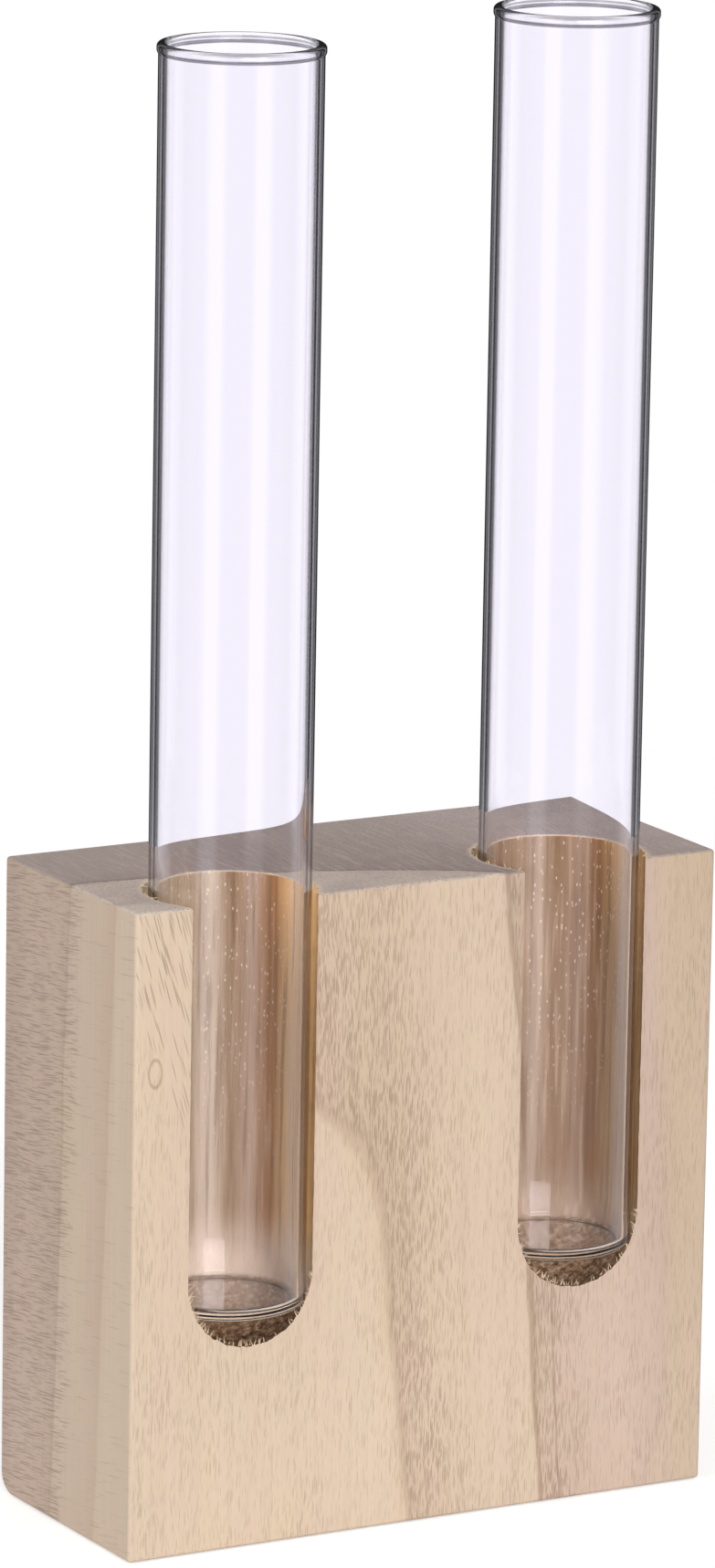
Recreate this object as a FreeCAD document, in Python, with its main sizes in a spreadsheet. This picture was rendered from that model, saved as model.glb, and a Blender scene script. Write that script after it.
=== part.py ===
import FreeCAD, Part
import math
import os
import Sketcher

# A bud vase: two clear glass tubes stand in two round-nosed bores of one solid wooden block.
# The bores run so near the front of the block that they break out through it as slots.
# Frame: origin at the centre of the block's underside, +Z up, the slotted front faces -Y.
# All sizes are in millimetres.

doc = FreeCAD.newDocument("tube_vase")

# Driving sizes: alias, value and what it is.
SIZES = (
    ("block_width", 102.0, "block, end to end"),
    ("block_depth", 43.0, "block, front to back"),
    ("block_height", 102.0, "block, underside to top"),
    ("edge_bevel", 0.6, "width of the small bevel on the block's edges"),
    ("foot_round", 3.5, "larger radius on the lower back edge of the block"),
    ("left_end_wall", 7.0, "wood between the left end and the left bore"),
    ("right_end_wall", 10.0, "wood between the right end and the right bore"),
    ("left_floor", 29.5, "wood under the deepest point of the left bore"),
    ("right_floor", 32.0, "wood under the deepest point of the right bore"),
    ("tube_diameter", 25.0, "outside of the glass tube"),
    ("tube_length", 195.0, "glass tube, underside to rim"),
    ("tube_wall", 1.3, "thickness of the glass wall"),
    ("tube_base", 1.5, "thickness of the flat glass bottom"),
    ("heel_radius", 2.0, "outside radius between the bottom and the wall"),
    ("inner_heel", 1.0, "width of the bevel inside, between the bottom and the wall"),
    ("rim_height", 1.4, "height of the melted bead round the mouth"),
    ("rim_overhang", 0.25, "how far the bead stands out from the wall"),
    ("tube_proud", 4.3, "how far the tube stands out of the block's front"),
    ("bore_clearance", 1.0, "gap all round between tube and bore"),
    ("seat_gap", 0.15, "gap between the tube's heel and the bore's round nose"),
    ("overrun", 5.0, "how far each cutter carries on past the wood"),
)

sheet = doc.addObject("Spreadsheet::Sheet", "Sizes")
for row, (alias, value, meaning) in enumerate(SIZES, start=1):
    sheet.set(f"A{row}", meaning)
    sheet.set(f"B{row}", str(value))
    sheet.setAlias(f"B{row}", alias)
doc.recompute()

# Sizes that follow from the driving ones, as expressions on the sheet.
HALF_WIDTH = "Sizes.block_width / 2"
HALF_DEPTH = "Sizes.block_depth / 2"
TUBE_RADIUS = "Sizes.tube_diameter / 2"
TUBE_INSIDE = "(Sizes.tube_diameter / 2 - Sizes.tube_wall)"
RIM_RADIUS = "(Sizes.tube_diameter / 2 + Sizes.rim_overhang)"
RIM_ROLL = "((Sizes.tube_wall + Sizes.rim_overhang) / 2)"
BORE_RADIUS = "(Sizes.tube_diameter / 2 + Sizes.bore_clearance)"
LEFT_AXIS = f"(-{HALF_WIDTH} + Sizes.left_end_wall + {BORE_RADIUS})"
RIGHT_AXIS = f"({HALF_WIDTH} - Sizes.right_end_wall - {BORE_RADIUS})"
AXIS_FORWARD = f"({HALF_DEPTH} - {TUBE_RADIUS} + Sizes.tube_proud)"


# How far round the bead's section the round part goes, from its outermost point.
LEAD_IN_DEGREES = 135


def size(expression):
    """The value of an expression on the sheet, for the first position of a sketch's points."""
    return float(sheet.evalExpression(expression.replace("Sizes.", "")))


def point(x, y):
    return FreeCAD.Vector(x, y, 0)


def line(x_start, y_start, x_end, y_end):
    return Part.LineSegment(point(x_start, y_start), point(x_end, y_end))


def arc(x_centre, y_centre, radius, start_degrees, end_degrees):
    """An arc that runs anticlockwise from its start to its end."""
    circle = Part.Circle(point(x_centre, y_centre), FreeCAD.Vector(0, 0, 1), radius)
    return Part.ArcOfCircle(circle, math.radians(start_degrees), math.radians(end_degrees))


class Outline:
    """A sketch on one of its body's own planes, whose sizes are bound to the sheet.

    Curves are known by their order in the sketch, and START, END and CENTRE are points on one.
    """

    START, END, CENTRE = range(1, 4)
    LEVEL_AXIS, HEIGHT_AXIS = range(-1, -3, -1)
    ORIGIN = (LEVEL_AXIS, START)

    def __init__(self, body, name, plane):
        self.sketch = body.newObject("Sketcher::SketchObject", name)
        planes = {feature.Role: feature for feature in body.Origin.OriginFeatures}
        self.sketch.AttachmentSupport = (planes[plane], [""])
        self.sketch.MapMode = "FlatFace"

    def add(self, *shapes):
        for shape in shapes:
            self.sketch.addGeometry(shape, False)

    def tie(self, kind, *where):
        self.sketch.addConstraint(Sketcher.Constraint(kind, *where))

    def join(self, *pairs):
        """Each pair names two ends, as (curve, end, curve, end), that are one corner."""
        for pair in pairs:
            self.tie("Coincident", *pair)

    def smooth(self, *pairs):
        """Each pair names two ends that meet in line with each other."""
        for pair in pairs:
            self.tie("Tangent", *pair)

    def measure(self, name, kind, where, expression):
        """Adds a dimension, names it and binds it to the sheet."""
        index = self.sketch.addConstraint(Sketcher.Constraint(kind, *where, size(expression)))
        self.sketch.renameConstraint(index, name)
        self.sketch.setExpression("Constraints." + name, expression)

    def finish(self):
        doc.recompute()
        if not self.sketch.FullyConstrained:
            raise RuntimeError(self.sketch.Name + " is not fully constrained")
        return self.sketch


def edge_names(shape, wanted):
    """The names of the shape's edges that the test wants."""
    return [f"Edge{number}" for number, edge in enumerate(shape.Edges, start=1) if wanted(edge)]


def is_crease(shape, edge):
    """True where the two faces at an edge meet at a corner and not in one smooth surface."""
    middle = edge.valueAt((edge.FirstParameter + edge.LastParameter) / 2)
    normals = []
    for face in shape.ancestorsOfType(edge, Part.Face):
        u, v = face.Surface.parameter(middle)
        normals.append(face.normalAt(u, v))
    return len(normals) == 2 and normals[0].getAngle(normals[1]) > math.radians(5)


START, END, CENTRE = Outline.START, Outline.END, Outline.CENTRE
ORIGIN = Outline.ORIGIN

# The block is one sawn length of solid wood, with its grain upright.
# Its end outline is square at three corners and rounded at the lower back one.
block = doc.addObject("PartDesign::Body", "wood_block")
block.Label = "wood_block"
half_depth = size(HALF_DEPTH)
height = size("Sizes.block_height")
foot = size("Sizes.foot_round")
end_outline = Outline(block, "end_outline", "YZ_Plane")
end_outline.add(
    line(-half_depth, 0, half_depth - foot, 0),
    arc(half_depth - foot, foot, foot, -90, 0),
    line(half_depth, foot, half_depth, height),
    line(half_depth, height, -half_depth, height),
    line(-half_depth, height, -half_depth, 0),
)
underside, foot_arc, back, top, front = range(5)
end_outline.smooth((underside, END, foot_arc, START), (foot_arc, END, back, START))
end_outline.join((back, END, top, START), (top, END, front, START), (front, END, underside, START))
end_outline.tie("PointOnObject", underside, START, Outline.LEVEL_AXIS)
for level in (underside, top):
    end_outline.tie("Horizontal", level)
for upright in (back, front):
    end_outline.tie("Vertical", upright)
end_outline.measure("depth", "DistanceX", (underside, START, back, START), "Sizes.block_depth")
end_outline.measure("behind_centre", "DistanceX", (*ORIGIN, back, START), HALF_DEPTH)
end_outline.measure("height", "DistanceY", (front, END, front, START), "Sizes.block_height")
end_outline.measure("foot", "Radius", (foot_arc,), "Sizes.foot_round")
end_sketch = end_outline.finish()

blank = block.newObject("PartDesign::Pad", "sawn_blank")
blank.Profile = end_sketch
blank.SideType = "Symmetric"
blank.setExpression("Length", "Sizes.block_width")
doc.recompute()

eased = block.newObject("PartDesign::Chamfer", "eased_edges")
eased.Base = (blank, edge_names(blank.Shape, lambda edge: is_crease(blank.Shape, edge)))
eased.setExpression("Size", "Sizes.edge_bevel")
doc.recompute()


def bore(name, axis, floor):
    """A round-nosed bore from the top, near enough to the front to break out through it."""
    radius = size(BORE_RADIUS)
    nose = size(floor)
    top = size("Sizes.block_height + Sizes.overrun")
    outline = Outline(block, name + "_outline", "XZ_Plane")
    outline.sketch.setExpression("AttachmentOffset.Base.x", axis)
    outline.sketch.setExpression("AttachmentOffset.Base.z", AXIS_FORWARD)
    outline.add(
        arc(0, nose + radius, radius, -90, 0),
        line(radius, nose + radius, radius, top),
        line(radius, top, 0, top),
        line(0, top, 0, nose),
    )
    nose_arc, wall, lid, axis_line = range(4)
    outline.smooth((nose_arc, END, wall, START))
    outline.join((wall, END, lid, START), (lid, END, axis_line, START), (axis_line, END, nose_arc, START))
    outline.tie("Vertical", wall)
    outline.tie("Horizontal", lid)
    outline.tie("PointOnObject", axis_line, START, Outline.HEIGHT_AXIS)
    outline.tie("PointOnObject", axis_line, END, Outline.HEIGHT_AXIS)
    outline.tie("PointOnObject", nose_arc, CENTRE, Outline.HEIGHT_AXIS)
    outline.measure("radius", "Radius", (nose_arc,), BORE_RADIUS)
    outline.measure("floor", "DistanceY", (*ORIGIN, axis_line, END), floor)
    outline.measure("top", "DistanceY", (*ORIGIN, axis_line, START), "Sizes.block_height + Sizes.overrun")
    profile = outline.finish()
    before = block.Tip.Shape.Volume
    cut = block.newObject("PartDesign::Groove", name)
    cut.Profile = profile
    cut.ReferenceAxis = (profile, ["V_Axis"])
    cut.Angle = 360
    doc.recompute()
    if not cut.Shape.Volume < before:
        raise RuntimeError(name + " took nothing away")
    return cut


bore("left_bore", LEFT_AXIS, "Sizes.left_floor")
bore("right_bore", RIGHT_AXIS, "Sizes.right_floor")


def glass_tube(name, axis, floor):
    """A tube drawn from one wall of glass: flat bottom, small heel, melted bead at the mouth.

    It stands where its heel meets the round nose of the bore, less the seat gap.
    The bead is round outside and on top, and leads into the tube with a slope.
    """
    body = doc.addObject("PartDesign::Body", name)
    body.Label = name
    outside = size(TUBE_RADIUS)
    inside = size(TUBE_INSIDE)
    lip = size(RIM_RADIUS)
    roll = size(RIM_ROLL)
    heel = size("Sizes.heel_radius")
    inner_heel = size("Sizes.inner_heel")
    base = size("Sizes.tube_base")
    length = size("Sizes.tube_length")
    shoulder = size("Sizes.tube_length - Sizes.rim_height")
    roll_height = length - roll
    lead_in = math.radians(LEAD_IN_DEGREES)
    lead_in_start = point(lip - roll + roll * math.cos(lead_in), roll_height + roll * math.sin(lead_in))
    lead_in_foot = lead_in_start.y + (lead_in_start.x - inside) / math.tan(lead_in)

    outline = Outline(body, name + "_section", "XZ_Plane")
    outline.add(
        line(0, 0, outside - heel, 0),
        arc(outside - heel, heel, heel, -90, 0),
        line(outside, heel, outside, shoulder),
        line(outside, shoulder, lip, roll_height),
        arc(lip - roll, roll_height, roll, 0, LEAD_IN_DEGREES),
        line(lead_in_start.x, lead_in_start.y, inside, lead_in_foot),
        line(inside, lead_in_foot, inside, base + inner_heel),
        line(inside, base + inner_heel, inside - inner_heel, base),
        line(inside - inner_heel, base, 0, base),
        line(0, base, 0, 0),
    )
    bottom, heel_arc, wall, flare, roll_arc, lead_in_line = range(6)
    inner_wall, inner_bevel, inner_floor, axis_line = range(6, 10)
    outline.smooth(
        (bottom, END, heel_arc, START),
        (heel_arc, END, wall, START),
        (roll_arc, END, lead_in_line, START),
    )
    outline.join(
        (bottom, START, *ORIGIN),
        (wall, END, flare, START),
        (flare, END, roll_arc, START),
        (lead_in_line, END, inner_wall, START),
        (inner_wall, END, inner_bevel, START),
        (inner_bevel, END, inner_floor, START),
        (inner_floor, END, axis_line, START),
        (axis_line, END, bottom, START),
    )
    outline.tie("Horizontal", bottom)
    outline.tie("Horizontal", inner_floor)
    outline.tie("Horizontal", roll_arc, START, roll_arc, CENTRE)
    outline.tie("Angle", lead_in_line, math.radians(LEAD_IN_DEGREES - 270))
    outline.tie("Vertical", wall)
    outline.tie("Vertical", inner_wall)
    outline.tie("PointOnObject", axis_line, START, Outline.HEIGHT_AXIS)
    outline.measure("heel", "Radius", (heel_arc,), "Sizes.heel_radius")
    outline.measure("outside", "DistanceX", (*ORIGIN, wall, START), TUBE_RADIUS)
    outline.measure("inside", "DistanceX", (*ORIGIN, inner_wall, START), TUBE_INSIDE)
    outline.measure("lip", "DistanceX", (*ORIGIN, roll_arc, START), RIM_RADIUS)
    outline.measure("roll", "Radius", (roll_arc,), RIM_ROLL)
    roll_level = f"Sizes.tube_length - {RIM_ROLL}"
    outline.measure("roll_height", "DistanceY", (*ORIGIN, roll_arc, CENTRE), roll_level)
    outline.measure("shoulder", "DistanceY", (*ORIGIN, wall, END), "Sizes.tube_length - Sizes.rim_height")
    outline.measure("base", "DistanceY", (*ORIGIN, inner_floor, START), "Sizes.tube_base")
    outline.measure("bevel_in", "DistanceX", (inner_bevel, END, inner_bevel, START), "Sizes.inner_heel")
    outline.measure("bevel_up", "DistanceY", (inner_bevel, END, inner_bevel, START), "Sizes.inner_heel")
    profile = outline.finish()

    glass = body.newObject("PartDesign::Revolution", name + "_glass")
    glass.Profile = profile
    glass.ReferenceAxis = (profile, ["V_Axis"])
    glass.Angle = 360

    reach = f"({BORE_RADIUS} - Sizes.heel_radius - Sizes.seat_gap)"
    heel_circle = f"({TUBE_RADIUS} - Sizes.heel_radius)"
    drop = f"sqrt({reach}^2 - {heel_circle}^2)"
    body.setExpression("Placement.Base.x", axis)
    body.setExpression("Placement.Base.y", f"-{AXIS_FORWARD}")
    body.setExpression("Placement.Base.z", f"{floor} + {BORE_RADIUS} - {drop} - Sizes.heel_radius")
    doc.recompute()
    return body


pieces = [
    block,
    glass_tube("left_tube", LEFT_AXIS, "Sizes.left_floor"),
    glass_tube("right_tube", RIGHT_AXIS, "Sizes.right_floor"),
]

# Every feature has to be sound before anything is written.
doc.recompute()
for feature in doc.Objects:
    if "Invalid" in feature.State or "Error" in feature.State:
        raise RuntimeError(feature.Name + " failed")
for piece in pieces:
    if piece.Shape.isNull() or not piece.Shape.isValid() or len(piece.Shape.Solids) != 1:
        raise RuntimeError(piece.Label + " is not one sound solid")

os.makedirs("parts", exist_ok=True)
for piece in pieces:
    piece.Shape.exportStep(f"parts/{piece.Label}.step")
    box = piece.Shape.BoundBox
    print(piece.Label, "volume", round(piece.Shape.Volume, 1), "box", box)
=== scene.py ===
# %% [markdown]
# # A test tube vase in wood and glass
# Two clear test tubes stand in one solid block of light wood, each in a round-nosed bore
# that breaks out through the front of the block as a slot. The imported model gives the
# place and size of all three pieces. This lesson models their finished surfaces round it.

# %% Load the frame
import math
import random

import bmesh
import bpy
from mathutils import Matrix, Vector


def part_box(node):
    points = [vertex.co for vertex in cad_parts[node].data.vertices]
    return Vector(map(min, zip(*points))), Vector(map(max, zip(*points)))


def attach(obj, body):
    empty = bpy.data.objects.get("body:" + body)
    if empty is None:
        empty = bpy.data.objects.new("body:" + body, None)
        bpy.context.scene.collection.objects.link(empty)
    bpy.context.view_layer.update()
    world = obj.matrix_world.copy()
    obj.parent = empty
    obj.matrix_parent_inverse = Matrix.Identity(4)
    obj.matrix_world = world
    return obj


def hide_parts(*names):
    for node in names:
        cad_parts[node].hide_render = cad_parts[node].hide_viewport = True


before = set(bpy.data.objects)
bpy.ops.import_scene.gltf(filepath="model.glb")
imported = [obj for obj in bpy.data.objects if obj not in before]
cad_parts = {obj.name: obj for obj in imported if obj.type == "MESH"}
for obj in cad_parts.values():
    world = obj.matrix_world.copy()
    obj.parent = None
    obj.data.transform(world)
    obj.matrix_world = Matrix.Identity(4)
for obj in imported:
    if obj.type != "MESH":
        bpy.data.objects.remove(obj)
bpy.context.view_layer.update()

# %% [markdown]
# ## Sizes
# The block and the tubes are measured on the frame, and a few small sizes are named here:
# the glass wall, the radius of the heel that sits on the bore's round nose, and the
# running clearance of the tube in its bore. The centre of each nose follows from them.

# %% Name the sizes
MM = 0.001
TUBE_WALL = 1.3 * MM
TUBE_BASE = 1.5 * MM
HEEL_RADIUS = 2.0 * MM
INNER_HEEL = 1.0 * MM
RIM_HEIGHT = 1.4 * MM
RIM_OVERHANG = 0.25 * MM
BORE_CLEARANCE = 1.0 * MM
SEAT_GAP = 0.15 * MM
EDGE_ROUND = 0.6 * MM
FOOT_ROUND = 3.5 * MM

block_low, block_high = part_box("wood_block")
block_size = block_high - block_low
block_centre = (block_low + block_high) / 2


def tube_places(node):
    """The axis, foot, mouth and radius of a tube, and the centre and radius of its bore's nose."""
    low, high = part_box(node)
    middle = (low + high) / 2
    radius = (high.x - low.x) / 2 - RIM_OVERHANG
    bore = radius + BORE_CLEARANCE
    heel_circle = radius - HEEL_RADIUS
    reach = bore - HEEL_RADIUS - SEAT_GAP
    nose = low.z + HEEL_RADIUS + math.sqrt(reach ** 2 - heel_circle ** 2)
    return {"x": middle.x, "y": middle.y, "foot": low.z, "mouth": high.z,
            "radius": radius, "bore": bore, "nose": nose}


TUBES = {name: tube_places(name) for name in ("left_tube", "right_tube")}
for name, tube in TUBES.items():
    print(name, {key: round(value * 1000, 3) for key, value in tube.items()})

# %% [markdown]
# ## Working by hand, in code
# Modelling operators act on what is selected. So everything is deselected before a new
# primitive is added, and faces and edges are then picked by their place or direction,
# as a modeller would click on them.

# %% Helpers for editing
CLOSE = 0.02 * MM


def start_clean():
    """Leaves edit mode and deselects every object."""
    if bpy.context.mode != "OBJECT":
        bpy.ops.object.mode_set(mode="OBJECT")
    bpy.ops.object.select_all(action="DESELECT")


def name_new(name):
    """Names the primitive that was just added and puts its place into its mesh."""
    piece = bpy.context.object
    piece.name = name
    piece.data.name = name
    bpy.ops.object.transform_apply(location=True, rotation=True, scale=True)
    bpy.ops.object.mode_set(mode="EDIT")
    return piece


def pick(kind, wanted):
    """Selects the vertices, edges or faces that pass a test, and returns how many there are."""
    bpy.ops.mesh.select_mode(type=kind)
    bpy.ops.mesh.select_all(action="DESELECT")
    data = bpy.context.object.data
    mesh = bmesh.from_edit_mesh(data)
    parts = {"VERT": mesh.verts, "EDGE": mesh.edges, "FACE": mesh.faces}[kind]
    chosen = [part for part in parts if wanted(part)]
    for part in chosen:
        part.select_set(True)
    mesh.select_flush_mode()
    bmesh.update_edit_mesh(data)
    return len(chosen)


def from_axis(place, tube):
    """How far a point lies from a tube's axis."""
    return math.hypot(place.x - tube["x"], place.y - tube["y"])


def on_ring(tube, radius, height):
    """A test for the edges of one circle round a tube's axis."""
    def wanted(edge):
        return all(abs(from_axis(corner.co, tube) - radius) < CLOSE
                   and abs(corner.co.z - height) < CLOSE for corner in edge.verts)
    return wanted


def round_over(radius, steps):
    """Rounds the selected edges with a number of steps."""
    bpy.ops.mesh.bevel(offset_type="OFFSET", offset=radius, segments=steps, affect="EDGES",
                       profile=0.5, clamp_overlap=False)


def report(piece):
    """Prints a piece's size and how many faces it has."""
    size = [round(value * 1000, 2) for value in piece.dimensions]
    print(piece.name, "measures", size, "mm, with", len(piece.data.polygons), "faces")


# %% [markdown]
# ## The block
# The real block is sawn from one light board with its grain upright, planed, and its
# edges are taken off with sandpaper. Its lower back edge has a larger round. It could
# start as a drawn end outline, but a cube brought to size with two bevels shows the
# same order of work as at the bench: saw, plane, round over.

# %% Saw the blank and round its edges
SHARP_ANGLE = math.radians(40)
FOOT_STEPS = 10
EDGE_STEPS = 4

start_clean()
bpy.ops.mesh.primitive_cube_add(size=1, location=block_centre, scale=block_size)
block = name_new("block")


def is_foot_edge(edge):
    """The lower back edge of the block."""
    return all(corner.co.y > block_high.y - CLOSE and corner.co.z < block_low.z + CLOSE
               for corner in edge.verts)


def is_sharp(edge):
    """Any edge where two faces meet at a plain angle."""
    return edge.is_manifold and edge.calc_face_angle() > SHARP_ANGLE


pick("EDGE", is_foot_edge)
round_over(FOOT_ROUND, FOOT_STEPS)
pick("EDGE", is_sharp)
round_over(EDGE_ROUND, EDGE_STEPS)
bpy.ops.object.mode_set(mode="OBJECT")
report(block)

# %% [markdown]
# ## The bores
# A round-nosed cutter makes the bores from above. It leaves the end grain at the bottom
# torn and rough, and the rim of each slot a little ragged. The same is done here: a
# sphere loses its upper half, its rim is drawn up into a long cutter, and a Displace
# modifier roughens it, more on the nose than on the wall. The roughness only points
# outwards, so the tube keeps its clearance and its seat.

# %% Make the cutters
CUTTER_SIDES = 176
NOSE_RINGS = 88
WALL_CUTS = 64
CUTTER_OVERRUN = 4 * MM
NOSE_ROUGHNESS = 0.55 * MM
NOSE_GRAIN = 0.75 * MM
NOSE_FADE = 2.2
NOSE_CALM = 0.5
WALL_ROUGHNESS = 0.16 * MM
WALL_GRAIN = 2.2 * MM
CLOUD_DETAIL = 3
SMOOTH_ANGLE = math.radians(38)


def roughen(piece, group, depth, grain):
    """Pushes the vertices of one group outwards by a cloudy noise."""
    clouds = bpy.data.textures.new(group, "CLOUDS")
    clouds.noise_scale = grain
    clouds.noise_depth = CLOUD_DETAIL
    displace = piece.modifiers.new(group, "DISPLACE")
    displace.texture = clouds
    displace.texture_coords = "LOCAL"
    displace.vertex_group = group
    displace.mid_level = 0
    displace.strength = depth
    bpy.ops.object.modifier_apply(modifier=displace.name)


def held(value):
    """A value held between 0 and 1."""
    return min(1.0, max(0.0, value))


def make_cutter(name, tube):
    """A cutter with a round, rough nose."""
    start_clean()
    bpy.ops.mesh.primitive_uv_sphere_add(segments=CUTTER_SIDES, ring_count=NOSE_RINGS,
                                         radius=tube["bore"],
                                         location=(tube["x"], tube["y"], tube["nose"]))
    cutter = name_new(name)
    pick("VERT", lambda corner: corner.co.z > tube["nose"] + CLOSE)
    bpy.ops.mesh.delete(type="VERT")
    pick("EDGE", on_ring(tube, tube["bore"], tube["nose"]))
    height = block_high.z + CUTTER_OVERRUN - tube["nose"]
    bpy.ops.mesh.extrude_region_move(TRANSFORM_OT_translate={"value": (0, 0, height)})
    bpy.ops.mesh.edge_face_add()
    pick("EDGE", lambda edge: abs(edge.verts[0].co.z - edge.verts[1].co.z) > height / 2)
    bpy.ops.mesh.subdivide(number_cuts=WALL_CUTS)
    bpy.ops.mesh.select_all(action="SELECT")
    bpy.ops.mesh.normals_make_consistent(inside=False)
    bpy.ops.object.mode_set(mode="OBJECT")
    nose = cutter.vertex_groups.new(name="nose")
    wall = cutter.vertex_groups.new(name="wall")
    for corner in cutter.data.vertices:
        depth = (tube["nose"] - corner.co.z) / tube["bore"]
        nose.add([corner.index], held(NOSE_FADE * depth - NOSE_CALM), "REPLACE")
        wall.add([corner.index], held(1.0 - depth), "REPLACE")
    roughen(cutter, "nose", NOSE_ROUGHNESS, NOSE_GRAIN)
    roughen(cutter, "wall", WALL_ROUGHNESS, WALL_GRAIN)
    report(cutter)
    return cutter


def cut(piece, cutter):
    """Takes the cutter's shape out of the piece, and puts the cutter away."""
    start_clean()
    piece.select_set(True)
    bpy.context.view_layer.objects.active = piece
    bore = piece.modifiers.new("bore", "BOOLEAN")
    bore.operation = "DIFFERENCE"
    bore.solver = "EXACT"
    bore.object = cutter
    bpy.ops.object.modifier_apply(modifier=bore.name)
    bpy.data.objects.remove(cutter)


for name, tube in TUBES.items():
    cut(block, make_cutter(name + "_cutter", tube))
bpy.ops.object.shade_smooth_by_angle(angle=SMOOTH_ANGLE)
report(block)

# %% [markdown]
# ## Torn fibres
# Where the cutter leaves the wood it tears a few fibres loose. They stay as pale slivers
# round the end of each slot and the mouth of each bore. Each is a small cone of five
# sides, and a fixed seed scatters them, so that they fall in the same places every time.

# %% Scatter the fibres
FIBRE_SIDES = 5
SLOT_FIBRES = 70
MOUTH_FIBRES = 60
FIBRE_LENGTHS = (0.5 * MM, 1.5 * MM)
FIBRE_RADIUS = 0.09 * MM
FIBRE_LIFT = 0.04 * MM
FIBRE_OUT = 0.3
FIBRE_SEED = 7
SLOT_LEAN = Vector((0, -0.15, 0.5))
SLOT_SPREAD = 0.7
MOUTH_LEAN = 0.6
MOUTH_SPREAD = 0.8
MOUTH_MARGIN = 0.05


def add_fibre(chance, place, lean):
    """One sliver that starts at a place and leans the given way."""
    length = chance.uniform(*FIBRE_LENGTHS)
    turn = lean.to_track_quat("Z", "Y").to_euler()
    bpy.ops.mesh.primitive_cone_add(vertices=FIBRE_SIDES, radius1=FIBRE_RADIUS, radius2=0,
                                    depth=length, rotation=turn,
                                    location=place + lean * (length * FIBRE_OUT))


def scatter(chance, value, spread):
    """A direction with a little chance in each part."""
    return Vector([part + chance.uniform(-spread, spread) for part in value]).normalized()


chance = random.Random(FIBRE_SEED)
start_clean()
bpy.ops.mesh.primitive_cone_add(vertices=FIBRE_SIDES, radius1=FIBRE_RADIUS, radius2=0,
                                depth=FIBRE_LENGTHS[0],
                                location=(block_low.x + FOOT_ROUND, block_low.y, block_centre.z))
fibres = name_new("torn_fibres")
bpy.ops.mesh.delete(type="VERT")
for tube in TUBES.values():
    slot = math.sqrt(tube["bore"] ** 2 - (tube["y"] - block_low.y) ** 2)
    for _ in range(SLOT_FIBRES):
        angle = chance.uniform(-math.pi, 0)
        outward = Vector((math.cos(angle), 0, math.sin(angle)))
        rim = Vector((tube["x"], block_low.y - FIBRE_LIFT, tube["nose"])) + outward * slot
        add_fibre(chance, rim, scatter(chance, SLOT_LEAN - outward, SLOT_SPREAD))
    opening = math.asin(slot / tube["bore"]) + MOUTH_MARGIN
    for _ in range(MOUTH_FIBRES):
        angle = chance.uniform(opening, 2 * math.pi - opening) - math.pi / 2
        outward = Vector((math.cos(angle), math.sin(angle), 0))
        rim = Vector((tube["x"], tube["y"], block_high.z)) + outward * tube["bore"]
        add_fibre(chance, rim, scatter(chance, -outward * MOUTH_LEAN, MOUTH_SPREAD))
bpy.ops.object.mode_set(mode="OBJECT")
report(fibres)

# %% [markdown]
# ## The glass tubes
# A test tube is drawn glass. Its flat foot is pressed with a small heel, and its mouth is
# melted in a flame until it runs back into a rounded bead. It could be spun from a drawn
# outline, but this way each step is a shape that the glass has: a cylinder is given its
# wider rim, hollowed with an inset and an extrusion, and its corners are rounded.

# %% Blow the tubes
TUBE_SIDES = 192
RIM_NECK = 0.3 * MM
BEAD_ROUND = 0.66 * MM
BEAD_STEPS = 7
LIP_ROUND = 0.3 * MM
LIP_STEPS = 5
HEEL_STEPS = 12
INNER_HEEL_STEPS = 8
FLAT_KEEPER = 0.5 * MM
UPWARD = 0.9
LEVEL = 0.99
FACE_WEIGHT = 100


def make_tube(name, tube):
    """A flat-footed glass tube with a melted bead at its mouth."""
    start_clean()
    length = tube["mouth"] - tube["foot"]
    middle = (tube["x"], tube["y"], tube["foot"] + length / 2)
    bpy.ops.mesh.primitive_cylinder_add(vertices=TUBE_SIDES, radius=tube["radius"], depth=length,
                                        end_fill_type="NGON", location=middle)
    glass = name_new(name)
    rim = tube["radius"] + RIM_OVERHANG
    inside = tube["radius"] - TUBE_WALL
    rim_foot = tube["mouth"] - RIM_HEIGHT
    floor = tube["foot"] + TUBE_BASE
    for height in (rim_foot - RIM_NECK, rim_foot):
        bpy.ops.mesh.select_all(action="SELECT")
        bpy.ops.mesh.bisect(plane_co=(0, 0, height), plane_no=(0, 0, 1))
    pick("VERT", lambda corner: corner.co.z > rim_foot - CLOSE)
    swell = rim / tube["radius"]
    bpy.ops.transform.resize(value=(swell, swell, 1), center_override=middle)
    pick("FACE", lambda face: face.normal.z > UPWARD)
    bpy.ops.mesh.inset(thickness=rim - inside)
    hollow = (0, 0, floor - tube["mouth"])
    bpy.ops.mesh.extrude_region_move(TRANSFORM_OT_translate={"value": hollow})
    corners = [
        (rim, tube["mouth"], BEAD_ROUND, BEAD_STEPS),
        (inside, tube["mouth"], BEAD_ROUND, BEAD_STEPS),
        (rim, rim_foot, LIP_ROUND, LIP_STEPS),
        (tube["radius"], tube["foot"], HEEL_RADIUS, HEEL_STEPS),
        (inside, floor, INNER_HEEL, INNER_HEEL_STEPS),
    ]
    for radius, height, rounding, steps in corners:
        pick("EDGE", on_ring(tube, radius, height))
        round_over(rounding, steps)
    for level in (tube["foot"], floor):
        pick("FACE", lambda face: abs(face.normal.z) > LEVEL
             and abs(face.calc_center_median().z - level) < CLOSE)
        bpy.ops.mesh.inset(thickness=FLAT_KEEPER)
    bpy.ops.object.mode_set(mode="OBJECT")
    bpy.ops.object.shade_smooth()
    shading = glass.modifiers.new("shading", "WEIGHTED_NORMAL")
    shading.weight = FACE_WEIGHT
    bpy.ops.object.modifier_apply(modifier=shading.name)
    report(glass)
    return glass


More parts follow.
